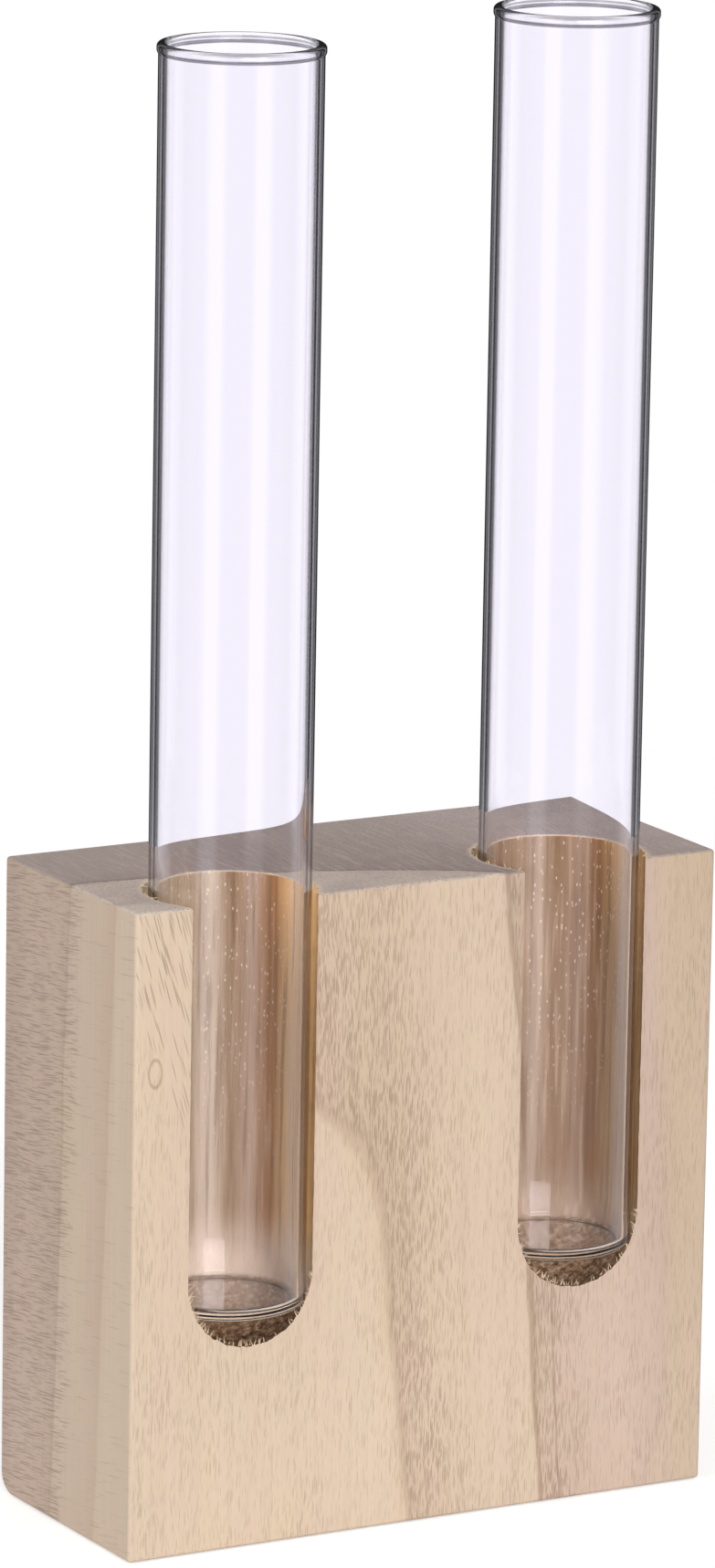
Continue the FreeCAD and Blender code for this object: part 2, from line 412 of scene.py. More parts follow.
glass_tubes = {}
for name, tube in TUBES.items():
    glass_tubes[name] = make_tube("glass_" + name, tube)

# %% [markdown]
# ## Shader maths that reads like arithmetic
# A finish is worked out from the place of each point on the piece. Every Math node would
# take several lines, so one small class wraps a socket and gives it plus, minus and
# times, and one method adds any other node from its type, its settings and its inputs.

# %% Helpers for finishes
class Wire:
    """A node's output, which can be used like a number in an expression."""

    def __init__(self, finish, socket):
        self.finish = finish
        self.socket = socket

    def maths(self, operation, *values):
        """A Math node on these values."""
        inputs = dict(enumerate(values))
        return self.finish.add("ShaderNodeMath", {"operation": operation}, inputs)

    def __add__(self, other):
        return self.maths("ADD", self, other)

    def __sub__(self, other):
        return self.maths("SUBTRACT", self, other)

    def __mul__(self, other):
        return self.maths("MULTIPLY", self, other)

    def __truediv__(self, other):
        return self.maths("DIVIDE", self, other)

    def __pow__(self, other):
        return self.maths("POWER", self, other)

    def __radd__(self, other):
        return self.maths("ADD", other, self)

    def __rsub__(self, other):
        return self.maths("SUBTRACT", other, self)

    def __rmul__(self, other):
        return self.maths("MULTIPLY", other, self)

    def least(self, other):
        """The smaller of two values."""
        return self.maths("MINIMUM", self, other)

    def most(self, other):
        """The larger of two values."""
        return self.maths("MAXIMUM", self, other)

    def size(self):
        """The value without its sign."""
        return self.maths("ABSOLUTE", self)

    def rise(self, start, end):
        """A soft step: 0 before start and 1 after end, or the other way when end is lower."""
        low, high = min(start, end), max(start, end)
        values = {0: self, 1: low, 2: high, 3: float(start > end), 4: float(start < end)}
        return self.finish.add("ShaderNodeMapRange", {"interpolation_type": "SMOOTHSTEP"}, values)

    def between(self, start, full, last, end):
        """A soft band: 1 from full to last, and 0 before start and after end."""
        return self.rise(start, full) * self.rise(end, last)


class Finish:
    """A node tree, with one method that adds any node."""

    def __init__(self, owner):
        owner.use_nodes = True
        self.tree = owner.node_tree
        self.tree.nodes.clear()

    def add(self, kind, settings=None, inputs=None, output=0):
        """Adds a node: its settings first, then the values or links of its inputs."""
        node = self.tree.nodes.new(kind)
        for key, value in (settings or {}).items():
            setattr(node, key, value)
        for key, value in (inputs or {}).items():
            if isinstance(value, Wire):
                self.tree.links.new(value.socket, node.inputs[key])
            else:
                node.inputs[key].default_value = value
        return Wire(self, node.outputs[output]) if node.outputs else node

    def place(self):
        """Each point's own place, in millimetres."""
        in_metres = self.add("ShaderNodeTexCoord", {}, {}, "Object")
        return self.add("ShaderNodeVectorMath", {"operation": "SCALE"}, {0: in_metres, 3: 1 / MM})

    def stretched(self, vector, lengths):
        """A vector divided by one length along each axis, to stretch a pattern."""
        return self.add("ShaderNodeVectorMath", {"operation": "DIVIDE"}, {0: vector, 1: lengths})

    def split(self, vector):
        """The three parts of a vector."""
        parts = self.tree.nodes.new("ShaderNodeSeparateXYZ")
        self.tree.links.new(vector.socket, parts.inputs[0])
        return [Wire(self, socket) for socket in parts.outputs]

    def joined(self, x, y, z):
        """A vector of three parts."""
        return self.add("ShaderNodeCombineXYZ", {}, {0: x, 1: y, 2: z})

    def cloud(self, place, cell, detail=2.0, roughness=0.5):
        """A cloudy pattern from 0 to 1, whose features are about one cell across."""
        values = {"Vector": self.stretched(place, cell), "Scale": 1.0,
                  "Detail": detail, "Roughness": roughness}
        return self.add("ShaderNodeTexNoise", {}, values)

    def spots(self, place, cell):
        """Scattered spots: the distance to the nearest one, and two random numbers of it."""
        values = {"Vector": self.stretched(place, cell), "Scale": 1.0}
        distance = self.add("ShaderNodeTexVoronoi", {}, values)
        lot = self.split(self.add("ShaderNodeTexVoronoi", {}, values, "Color"))
        return distance, lot[0], lot[1]

    def mixed(self, share, first, second):
        """A mix of two colours."""
        settings = {"data_type": "RGBA"}
        return self.add("ShaderNodeMix", settings, {0: share, 6: first, 7: second}, 2)

    def tinted(self, mask, colour, tint):
        """Lays a tint over a colour, by its share where the mask is 1."""
        return self.mixed(mask * tint["share"], colour, (*tint["shade"], 1))

    def clouded(self, place, colour, *tints):
        """Lays tints over a colour in turn, each one where its own cloud is dense."""
        for tint in tints:
            cloud = self.cloud(place, tint["cell"]).rise(*tint["step"])
            colour = self.tinted(cloud, colour, tint)
        return colour

    def ramp(self, share, stops):
        """A colour that runs through a list of (place, colour) stops."""
        node = self.tree.nodes.new("ShaderNodeValToRGB")
        stones = node.color_ramp.elements
        stones[0].position, stones[0].color = stops[0]
        stones[1].position, stones[1].color = stops[-1]
        for position, colour in stops[1:-1]:
            stones.new(position).color = colour
        self.tree.links.new(share.socket, node.inputs[0])
        return Wire(self, node.outputs[0])

    def ray(self, figure):
        """A figure about the ray that arrives, such as Is Camera Ray."""
        return self.add("ShaderNodeLightPath", {}, {}, figure)

    def surface(self, shader):
        """Ends a material with this shader, and prints how many nodes it took."""
        self.add("ShaderNodeOutputMaterial", {}, {"Surface": shader})
        print("A finish of", len(self.tree.nodes), "nodes")


def new_finish(name):
    """A new material and its tree."""
    material = bpy.data.materials.new(name)
    return material, Finish(material)


def straight_and_mirrored(finish):
    """Whether a ray came straight through glass, and whether it was mirrored on its way."""
    mirrored = finish.ray("Glossy Depth").least(1)
    return finish.ray("Is Transmission Ray") * (1 - mirrored), mirrored


# %% [markdown]
# ## The wood
# The block is a light, fast-grown wood with wide year rings. Each ring is a curved sheet
# in the block, and one field of distance to those sheets gives every face its share: a
# slanting line on the front, a line across the top and an upright line on the end. Such
# a field keeps the faces in step, where a picture on each face could not. At the upper
# left of the front the rings bend a little. Lengths in the finishes are millimetres, two
# of them give the start and end of a soft step, and colours are red, green and blue.

# %% Ring field
FRONT = block_low.y / MM
LEFT = block_low.x / MM
RIGHT = block_high.x / MM
TOP = block_high.z / MM
RING_START = 5.4
RING_LEAN = 0.056
RING_BOW = 0.005
RING_BEND = 4
BEND_ACROSS = (-44, -32, -20, -6)
BEND_HEIGHT = (48, 78)
BEND_DEPTH = (-6, -16)
RING_WANDER = 2.6
RING_RIPPLE = 0.6
WANDER_CELL = (20, 20, 45)
RIPPLE_CELL = (3, 3, 9)
OUTER_RING = -15
RING_LOW = -30
RING_SPAN = 80


def ring_field(finish, place):
    """How far a point lies behind the ring that crosses the middle of the left end."""
    x, y, z = finish.split(place)
    wander = (finish.cloud(place, WANDER_CELL, 1.0) - 0.5) * RING_WANDER
    ripple = (finish.cloud(place, RIPPLE_CELL, 1.0) - 0.5) * RING_RIPPLE
    from_end = x - LEFT
    bow = from_end * from_end * RING_BOW
    bend = z.rise(*BEND_HEIGHT) * x.between(*BEND_ACROSS) * y.rise(*BEND_DEPTH) * RING_BEND
    return y - RING_START + z * RING_LEAN + bow + bend + wander + ripple


def ring_ramp(finish, ring, stops):
    """A colour for each ring distance, from a list of (distance, red, green, blue)."""
    shares = [((distance - RING_LOW) / RING_SPAN, (*colour, 1)) for distance, *colour in stops]
    return finish.ramp((ring - RING_LOW) / RING_SPAN, shares)


print("The middle ring starts", RING_START, "mm behind the middle of the left end's foot")

# %% [markdown]
# ## Colour along the grain
# Planed faces show the year rings as broad, faint zones of beige, pink and straw. Fine
# streaks run up the grain on top of them, and each ring starts with a darker line. The
# foot of the block is a little paler.

# %% Face colour
SIDE_COLOURS = [
    (-28, 0.67, 0.53, 0.395),
    (-22, 0.68, 0.535, 0.40),
    (-17, 0.70, 0.555, 0.42),
    (OUTER_RING - 0.3, 0.69, 0.535, 0.39),
    (OUTER_RING + 0.3, 0.59, 0.445, 0.325),
    (-11, 0.65, 0.50, 0.375),
    (-5, 0.68, 0.53, 0.41),
    (-0.6, 0.67, 0.52, 0.40),
    (0.2, 0.55, 0.41, 0.31),
    (3, 0.60, 0.45, 0.355),
    (12, 0.64, 0.48, 0.385),
    (19, 0.575, 0.43, 0.35),
    (22, 0.59, 0.455, 0.325),
    (45, 0.58, 0.445, 0.32),
]
STREAK = dict(cell=(0.6, 0.6, 30), step=(0.38, 0.72), share=0.16, shade=(0.47, 0.33, 0.235))
BLUSH = dict(cell=(6, 6, 50), step=(0.42, 0.68), share=0.22, shade=(0.68, 0.485, 0.415))
STRAW = dict(cell=(9, 9, 35), step=(0.5, 0.72), share=0.25, shade=(0.72, 0.58, 0.39))
PALE_FOOT = dict(share=0.12, shade=(0.80, 0.68, 0.56))
FOOT_HEIGHT = (50, 10)


def side_colour(finish, place, ring):
    """The colour of a face that runs along the grain."""
    colour = ring_ramp(finish, ring, SIDE_COLOURS)
    colour = finish.clouded(place, colour, STREAK, BLUSH, STRAW)
    foot = finish.split(place)[2].rise(*FOOT_HEIGHT)
    return finish.tinted(foot, colour, PALE_FOOT)


# %% [markdown]
# ## Pores
# A plane opens the wood's vessels, which show as short upright scratches. They crowd just
# inside each year ring. Here they are long cells scattered through the block and kept or
# dropped by chance. Above the knot on the left of the front they lean with the grain.

# %% Pores and knot
PORE_CELL = (0.30, 0.30, 3.4)
FINE_PORE_CELL = (0.19, 0.19, 2.2)
CURLY_PORE_CELL = (0.24, 0.24, 6.5)
PORE_WIDTH = 0.5
CURLY_PORE_WIDTH = 0.45
PORE_LEAST = 0.62
FINE_PORE_LEAST = 0.45
CURLY_PORE_LEAST = 0.3
FINE_PORE_DEPTH = 0.7
CORE = 0.48
LOT_STEP = 0.3
SWAY_CELL = (9, 9, 14)
PORE_SWAY = 1.2
PATCH_CELL = (8, 8, 16)
PATCH_STEP = (0.4, 0.65)
RING_CROWD = (-0.3, 0.5, 1, 9)
OUTER_CROWD = (-0.3, 0.5, 1, 8)
CROWD_MORE = 0.45
PATCH_MORE = 0.2
PLAIN_DEPTH = 0.45
CROWD_DEPTH = 0.5
PATCH_DEPTH = 0.15
FRONT_SKIN = (0.3, 0.1)
KNOT = (-47.4, 76.8)
KNOT_WIDTH = 1.1
KNOT_HEIGHT = 2.15
KNOT_EDGE = (0.22, 0.06)
KNOT_LEAN = 0.29
LEAN_SLOPE = 2.2
LEAN_ABOVE = (-1, 4)
LEAN_BESIDE = (10, 5)
LEAN_DEPTH = (3, 1)


def near_front(finish, place):
    """1 on the front face, and 0 behind it."""
    return (finish.split(place)[1] - FRONT).rise(*FRONT_SKIN)


def knot_shadow(finish, place):
    """Where the grain leans, above the little knot on the left of the front."""
    x, y, z = finish.split(place)
    above = (z - KNOT[1] - (KNOT[0] - x) * LEAN_SLOPE).rise(*LEAN_ABOVE)
    return above * (x - KNOT[0]).rise(*LEAN_BESIDE) * (y - FRONT).rise(*LEAN_DEPTH)


def pore_layer(finish, place, cell, least, crowd, width=PORE_WIDTH):
    """Pores of one size: least is the chance that drops one, and crowd keeps more."""
    distance, lot, _ = finish.spots(place, cell)
    return distance.rise(width, width * CORE) * (lot + crowd).rise(least, least + LOT_STEP)


def pores(finish, place, ring):
    """Open pores, 0 to 1."""
    x, y, z = finish.split(place)
    leaning = knot_shadow(finish, place)
    sway = finish.cloud(place, SWAY_CELL, 1.0) - 0.5
    upright = finish.joined(x + sway * PORE_SWAY, y, z)
    crowd = (ring - OUTER_RING).between(*OUTER_CROWD).most(ring.between(*RING_CROWD))
    patch = finish.cloud(place, PATCH_CELL, 1.0).rise(*PATCH_STEP)
    more = crowd * CROWD_MORE + patch * PATCH_MORE
    coarse = pore_layer(finish, upright, PORE_CELL, PORE_LEAST, more)
    fine = pore_layer(finish, upright, FINE_PORE_CELL, FINE_PORE_LEAST, more)
    depth = crowd * CROWD_DEPTH + patch * PATCH_DEPTH + PLAIN_DEPTH
    straight = coarse.most(fine * FINE_PORE_DEPTH) * depth
    slanted = finish.joined(x + z * KNOT_LEAN, y, z)
    curly = pore_layer(finish, slanted, CURLY_PORE_CELL, CURLY_PORE_LEAST, 0, CURLY_PORE_WIDTH)
    return straight * (1 - leaning) + curly * leaning


def knot_ring(finish, place):
    """The thin brown outline of the knot."""
    x, _, z = finish.split(place)
    across = (x - KNOT[0]) / KNOT_WIDTH
    along = (z - KNOT[1]) / KNOT_HEIGHT
    reach = (across * across + along * along) ** 0.5
    return (reach - 1).size().rise(*KNOT_EDGE) * near_front(finish, place)


print("The knot is", 2 * KNOT_WIDTH, "mm wide and", 2 * KNOT_HEIGHT, "mm high")

# %% [markdown]
# ## Sawn ends and the top
# The top is end grain: it drinks the finish and stays greyer and darker than the sides,
# with a fine speckle, and it is worn a little paler on the left. The narrow ends were
# sawn, and the blade left short dark strokes, mostly behind the year ring.

# %% End grain and saw strokes
TOP_COLOURS = [
    (-28, 0.72, 0.61, 0.54),
    (OUTER_RING - 0.4, 0.71, 0.595, 0.51),
    (OUTER_RING + 0.4, 0.63, 0.52, 0.45),
    (-2, 0.67, 0.555, 0.48),
    (-0.4, 0.66, 0.545, 0.47),
    (0.1, 0.27, 0.205, 0.175),
    (0.8, 0.395, 0.31, 0.285),
    (14, 0.41, 0.33, 0.295),
    (45, 0.54, 0.445, 0.415),
]
SPECKLE = dict(cell=(0.5, 0.5, 0.5), step=(0.45, 0.72), share=0.55, shade=(0.27, 0.21, 0.18))
RAYS = dict(cell=(0.5, 5, 5), step=(0.45, 0.75), share=0.4, shade=(0.66, 0.56, 0.48))
BLOTCH = dict(cell=(7, 4, 7), step=(0.45, 0.7), share=0.3, shade=(0.40, 0.335, 0.31))
WORN = dict(share=0.25, shade=(0.62, 0.52, 0.46))
WORN_ACROSS = (-25, -46)
WORN_BEHIND = (0, 2)
FLUFF = dict(share=0.55, shade=(0.78, 0.64, 0.50))
FLUFF_REACH = (1.0, 0.3)
RAGGED_CELL = (0.6, 0.6, 0.6)
RAGGED_DEPTH = 1.6
STROKE_CELL = (1, 5.0, 0.24)
SHORT_STROKE_CELL = (1, 2.6, 0.17)
STROKE_WIDTH = 0.6
STROKE_LEAST = 0.9
STROKE_BEHIND = (-6, 1)
STROKE_MORE = 0.62
STROKE_ANYWHERE = 0.06
SHORT_STROKE_DEPTH = 0.7
STROKE_PATCH_CELL = (6, 6, 9)
STROKE_PATCH_STEP = (0.2, 0.55)
STROKE_WAVE_CELL = (7, 7, 7)
STROKE_LEAN = 0.12
STROKE_WAVE = 0.6


def mouth_fluff(finish, place):
    """A narrow, ragged pale rim round each bore, where the cutter lifted the grain."""
    x, y, _ = finish.split(place)
    ragged = (finish.cloud(place, RAGGED_CELL) - 0.5) * RAGGED_DEPTH
    fluff = 0.0
    for tube in TUBES.values():
        across = x - tube["x"] / MM
        along = y - tube["y"] / MM
        reach = (across * across + along * along) ** 0.5 + ragged
        fluff = (reach - tube["bore"] / MM).rise(*FLUFF_REACH) + fluff
    return fluff


def top_colour(finish, place, ring):
    """The grey-brown of the end grain on top."""
    colour = ring_ramp(finish, ring, TOP_COLOURS)
    colour = finish.clouded(place, colour, SPECKLE, RAYS, BLOTCH)
    worn = finish.split(place)[0].rise(*WORN_ACROSS) * ring.rise(*WORN_BEHIND)
    colour = finish.tinted(worn, colour, WORN)
    return finish.tinted(mouth_fluff(finish, place), colour, FLUFF)


def saw_strokes(finish, place, ring):
    """Short strokes, nearly level, from 0 to 1."""
    _, y, z = finish.split(place)
    patch = finish.cloud(place, STROKE_PATCH_CELL).rise(*STROKE_PATCH_STEP)
    crowd = (ring.rise(*STROKE_BEHIND) * STROKE_MORE + STROKE_ANYWHERE) * patch
    wave = (finish.cloud(place, STROKE_WAVE_CELL, 1.0) - 0.5) * STROKE_WAVE
    slanted = finish.joined(0.0, y, z + y * STROKE_LEAN + wave)
    long, short = [pore_layer(finish, slanted, cell, STROKE_LEAST, crowd, STROKE_WIDTH)
                   for cell in (STROKE_CELL, SHORT_STROKE_CELL)]
    return long.most(short * SHORT_STROKE_DEPTH)


# %% [markdown]
# ## Inside the bores
# The wall of a bore cuts through many layers of the wood, so its brown changes from side to side
# and streaks run up it. Painted light lifts the shade on the right-hand wall beside each tube and
# low in the bores. Near the mouths it has pale torn specks, and at the bottom the cutter scorched
# the end grain. The shape of each bore is known, so its inside is picked out by the distance from
# its axis and its nose.

# %% Bore masks and colours
LEFT_TUBE = TUBES["left_tube"]
BORE_RADIUS = LEFT_TUBE["bore"] / MM
ROUGH_REACH = (NOSE_ROUGHNESS + WALL_ROUGHNESS) / MM
MASK_EDGE = 0.15
BURNT_BELOW = (-4.6, -6.6)
BEHIND_FRONT = (0.06, 0.22)
BELOW_TOP = (0.06, 0.25)
BORE_REACH = 16
BORE_TONES_AND_PAINTED_LIGHT = [
    (0, 0.34, 0.25, 0.165),
    (4.2, 0.49, 0.38, 0.28),
    (6.9, 0.275, 0.165, 0.08),
    (9.6, 0.43, 0.295, 0.205),
    (12.1, 0.36, 0.15, 0.04),
    # Painted light: this pale stop lifts the shade on the right-hand wall beside each tube.
    (13.4, 0.90, 0.55, 0.24),
]
BURNT_COLOURS = [
    (0.34, 0.07, 0.036, 0.020),
    (0.5, 0.23, 0.13, 0.072),
    (0.60, 0.42, 0.27, 0.17),
    (0.72, 0.62, 0.46, 0.32),
]
LEFT_TO_RIGHT = (-10, 10)
RIGHT_BORE = dict(share=0.5, shade=(0.23, 0.12, 0.055))
BORE_STREAK_CELL = (1.1, 1.1, 24)
DARK_STREAK = dict(step=(0.5, 0.66), share=0.55, shade=(0.19, 0.10, 0.05))
PALE_STREAK = dict(step=(0.48, 0.34), share=0.4, shade=(0.56, 0.41, 0.28))
LOW_BORE_PAINTED_LIGHT = dict(share=0.35, shade=(0.70, 0.55, 0.43))
LOW_HEIGHT = (50, 39)
LOW_LEFT = (0, -10)
SPECK_CELL = (0.5, 0.5, 1.0)
SPECK_SIZE = (0.34, 0.16)
SPECK_LOT = (0.66, 0.76)
SPECK_HEIGHT = (45, 85)
SPECK = dict(share=0.6, shade=(0.86, 0.73, 0.58))
CURL_CELL = (1, 1, 0.8)
CURL_DETAIL = 4.0
CURL_ROUGHNESS = 0.7
LESS_BURNT = 0.05


def right_half(x):
    """0 in the left half of the vase, and 1 in the right half."""
    return x.rise(-1, 1)


def bore_masks(finish, place):
    """Two masks: the whole inside of both bores, and their burnt bottoms."""
    x, y, z = finish.split(place)
    inside = 0.0
    burnt = 0.0
    for tube in TUBES.values():
        below = (z - tube["nose"] / MM).least(0)
        across = x - tube["x"] / MM
        along = y - tube["y"] / MM
        reach = (across * across + along * along + below * below) ** 0.5
        here = (reach - BORE_RADIUS - ROUGH_REACH).rise(MASK_EDGE, 0)
        inside = here + inside
        burnt = here * below.rise(*BURNT_BELOW) + burnt
    deeper = (y - FRONT).rise(*BEHIND_FRONT) * (TOP - z).rise(*BELOW_TOP)
    return (inside * deeper).least(1), (burnt * deeper).least(1)


def bore_colour(finish, place):
    """Brown walls with upright streaks, painted light on the right-hand wall and low down, and
    pale torn specks near the mouths.
    """
    x, _, z = finish.split(place)
    left, right = [tube["x"] / MM for tube in TUBES.values()]
    beside = (x - left - right_half(x) * (right - left)) / BORE_REACH
    shades = [(distance / BORE_REACH, (*shade, 1)) for distance, *shade in BORE_TONES_AND_PAINTED_LIGHT]
    colour = finish.ramp(beside, shades)
    colour = finish.tinted(x.rise(*LEFT_TO_RIGHT), colour, RIGHT_BORE)
    streak = finish.cloud(place, BORE_STREAK_CELL, 3.0)
    for tint in (DARK_STREAK, PALE_STREAK):
        colour = finish.tinted(streak.rise(*tint["step"]), colour, tint)
    # Painted light: paler low in the bores, most in the left one, lifts the shade deep in them.
    low = z.rise(*LOW_HEIGHT) * (1 + x.rise(*LOW_LEFT))
    colour = finish.tinted(low, colour, LOW_BORE_PAINTED_LIGHT)
    distance, _, lot = finish.spots(place, SPECK_CELL)
    speck = distance.rise(*SPECK_SIZE) * lot.rise(*SPECK_LOT) * z.rise(*SPECK_HEIGHT)
    return finish.tinted(speck, colour, SPECK)


def burnt_colour(finish, place):
    """Scorched, torn end grain, darker in the left bore."""
    curl = finish.cloud(place, CURL_CELL, CURL_DETAIL, CURL_ROUGHNESS)
    curl = curl + finish.split(place)[0].rise(*LEFT_TO_RIGHT) * LESS_BURNT
    return finish.ramp(curl, [(share, (*shade, 1)) for share, *shade in BURNT_COLOURS])


print("Bores of", round(2 * BORE_RADIUS, 2), "mm, masked", round(ROUGH_REACH, 2), "mm wider")

# %% [markdown]
# The layers of the wood are then laid over each other: faces, lines, pores, knot, sawn
# ends, top, bores and burnt bottoms. Pores and lines also sink a little into the surface.

# %% Wood finish
LINE = dict(share=0.45, shade=(0.33, 0.21, 0.14))
PORE = dict(share=0.5, shade=(0.33, 0.21, 0.135))
KNOT_LINE = dict(share=0.65, shade=(0.42, 0.29, 0.17))
END_WOOD = dict(share=0.2, shade=(0.50, 0.43, 0.37))
STROKE = dict(share=0.52, shade=(0.25, 0.175, 0.135))
LINE_WIDTH = (0.5, 0.1)
OUTER_LINE_WIDTH = (0.6, 0.1)
OUTER_LINE_SHARE = 0.5
LINE_LOSS_ON_ENDS = 0.7
CRACK_PLACE = 2.7
CRACK_WIDTH = (0.22, 0.06)
CRACK_HEIGHT = (46, 30)
END_SKIN = (-0.35, -0.15)
TOP_SKIN = (0.45, 0.15)
GRIT_CELL = (0.35, 0.35, 0.9)
RELIEF_DEPTH = 0.14 * MM
RELIEF_STRENGTH = 0.8
GRIT_RELIEF = 0.4
PORE_RELIEF = 0.7
LINE_RELIEF = 0.4
WOOD_ROUGHNESS = 0.60
ROUGHER = 0.2
WOOD_SHINE = 0.2


def wood_finish(name):
    """Light wood with year rings, pores, end grain, saw strokes and burnt bore bottoms."""
    material, finish = new_finish(name)
    place = finish.place()
    x, _, z = finish.split(place)
    ring = ring_field(finish, place)
    ends = (x.size() - RIGHT).rise(*END_SKIN)
    pore = pores(finish, place, ring) * (1 - ends)
    colour = side_colour(finish, place, ring)
    crack = (ring - CRACK_PLACE).size().rise(*CRACK_WIDTH) * z.rise(*CRACK_HEIGHT)
    outer_line = (ring - OUTER_RING).size().rise(*OUTER_LINE_WIDTH) * near_front(finish, place)
    line = ring.size().rise(*LINE_WIDTH).most(crack).most(outer_line * OUTER_LINE_SHARE)
    line = line * (1 - ends * LINE_LOSS_ON_ENDS)
    colour = finish.tinted(line, colour, LINE)
    colour = finish.tinted(pore, colour, PORE)
    colour = finish.tinted(knot_ring(finish, place), colour, KNOT_LINE)
    colour = finish.tinted(ends, colour, END_WOOD)
    colour = finish.tinted(saw_strokes(finish, place, ring) * ends, colour, STROKE)
    inside, burnt = bore_masks(finish, place)
    on_top = (TOP - z).rise(*TOP_SKIN)
    colour = finish.mixed(on_top, colour, top_colour(finish, place, ring))
    colour = finish.mixed(inside, colour, bore_colour(finish, place))
    colour = finish.mixed(burnt, colour, burnt_colour(finish, place))
    grit = finish.cloud(place, GRIT_CELL, 3.0)
    height = grit * GRIT_RELIEF * (1 - ends) - pore * PORE_RELIEF - line * LINE_RELIEF
    relief = finish.add("ShaderNodeBump", {}, {
        "Strength": RELIEF_STRENGTH, "Distance": RELIEF_DEPTH, "Height": height})
    finish.surface(finish.add("ShaderNodeBsdfPrincipled", {}, {
        "Base Color": colour, "Roughness": WOOD_ROUGHNESS + (grit + burnt) * ROUGHER,
        "Normal": relief, "Specular IOR Level": WOOD_SHINE}))
    return material


block.data.materials.clear()
block.data.materials.append(wood_finish("light wood"))

# %% [markdown]
# Freshly torn fibres are paler than the planed wood, because their ends scatter light.

# %% Fibre finish
TORN_CELL = (2, 2, 2)
TORN_STEP = (0.4, 0.6)
TORN_PALE = (0.80, 0.65, 0.46, 1)
TORN_BROWN = (0.58, 0.42, 0.28, 1)
TORN_ROUGHNESS = 0.8

fibre_wood, finish = new_finish("torn wood")
tone = finish.cloud(finish.place(), TORN_CELL, 1.0).rise(*TORN_STEP)
tone = finish.mixed(tone, TORN_PALE, TORN_BROWN)
finish.surface(finish.add("ShaderNodeBsdfPrincipled", {}, {
    "Base Color": tone, "Roughness": TORN_ROUGHNESS}))
fibres.data.materials.append(fibre_wood)

# %% [markdown]
# ## The glass
# Clear glass shows itself by its edges: there the light from behind is turned away. That shade is
# painted into the glass's colour here: two dark lines with a thin pale one between them stand
# against the background, and painted dark lines run round the bead. Inside the bores the wood is
# all round, so the painted edge shade is weaker there. Shadow rays pass the glass, so the wood
# behind it is lit as through glass.

# %% Glass finish
GLASS_INDEX = 1.48
GLASS_TINT = (0.985, 0.978, 1.0, 1)
# Painted shade: the near-black that the glass is coloured at its edges and round its bead.
EDGE_SHADE_PAINT = (0.06, 0.055, 0.075, 1)
SHADOW_TINT = (0.97, 0.97, 0.97, 1)
INNER_WALL = (LEFT_TUBE["radius"] - TUBE_WALL) / MM
WALL_MASK = (0.4, 0.7)
BEAD_SHADE_LINE = (0.42, 0.2)
INNER_SHADE_LINE = (0.26, 0.12)
INNER_SHADE_DEPTH = 0.6
INNER_SHADE_SHARE = 0.85
BEAD_SHADE_DARKNESS = 0.95
EDGE_SHADE_STEP = (0.57, 0.66)
SHADE_GAP_BAND = (0.65, 0.69, 0.73, 0.77)
UPRIGHT_STEP = (0.97, 0.85)
ABOVE_BLOCK = (-3, 0)
EDGE_SHADE_IN_BORE = 0.3
SHADE_GAP_SHARE = 0.8


def outer_wall_and_bead_shade(finish, place):
    """The outer wall, and two thin lines of painted shade round the bead, where it bends the light
    most.
    """
    x, y, z = finish.split(place)
    reaches = []
    for tube in TUBES.values():
        across = x - tube["x"] / MM
        along = y - tube["y"] / MM
        reaches.append((across * across + along * along) ** 0.5)
    outer = (reaches[0].least(reaches[1]) - INNER_WALL).rise(*WALL_MASK)
    left, right = [tube["mouth"] / MM for tube in TUBES.values()]
    depth = left + right_half(x) * (right - left) - z
    # Painted shade: thin dark lines under the bead and just inside the mouth, where the glass
    # bends the light away.
    bead_shade = (depth - RIM_HEIGHT / MM).size().rise(*BEAD_SHADE_LINE) * outer
    inner_bead_shade = (depth - INNER_SHADE_DEPTH).size().rise(*INNER_SHADE_LINE) * (1 - outer)
    return outer, bead_shade.most(inner_bead_shade * INNER_SHADE_SHARE) * BEAD_SHADE_DARKNESS


def glass_finish(name):
    """Clear lab glass, with shade painted into its colour where its upright walls are seen edge
    on.
    """
    material, finish = new_finish(name)
    place = finish.place()
    outer, rim_shade = outer_wall_and_bead_shade(finish, place)
    turned = finish.add("ShaderNodeLayerWeight", {}, {"Blend": 0.5}, "Facing")
    facing = finish.add("ShaderNodeNewGeometry", {}, {}, "Normal")
    upright = finish.split(facing)[2].size().rise(*UPRIGHT_STEP)
    above = (finish.split(place)[2] - TOP).rise(*ABOVE_BLOCK)
    strength = EDGE_SHADE_IN_BORE + above * (1 - EDGE_SHADE_IN_BORE)
    # Painted shade: the outer wall is coloured dark where it is seen edge on, less so inside the
    # bores, and left clear in a thin band where the pale line shows.
    shade_gap = turned.between(*SHADE_GAP_BAND)
    edge = turned.rise(*EDGE_SHADE_STEP) * (1 - shade_gap * SHADE_GAP_SHARE) * upright * outer * strength
    glass = finish.add("ShaderNodeBsdfPrincipled", {}, {
        "Base Color": finish.mixed(edge.most(rim_shade), GLASS_TINT, EDGE_SHADE_PAINT),
        "Roughness": 0.0, "IOR": GLASS_INDEX, "Transmission Weight": 1.0})
    clear = finish.add("ShaderNodeBsdfTransparent", {}, {"Color": SHADOW_TINT})
    shadow = finish.ray("Is Shadow Ray")
    finish.surface(finish.add("ShaderNodeMixShader", {}, {0: shadow, 1: glass, 2: clear}))
    return material


clear_glass = glass_finish("clear glass")
for glass in glass_tubes.values():
    glass.data.materials.clear()
    glass.data.materials.append(clear_glass)

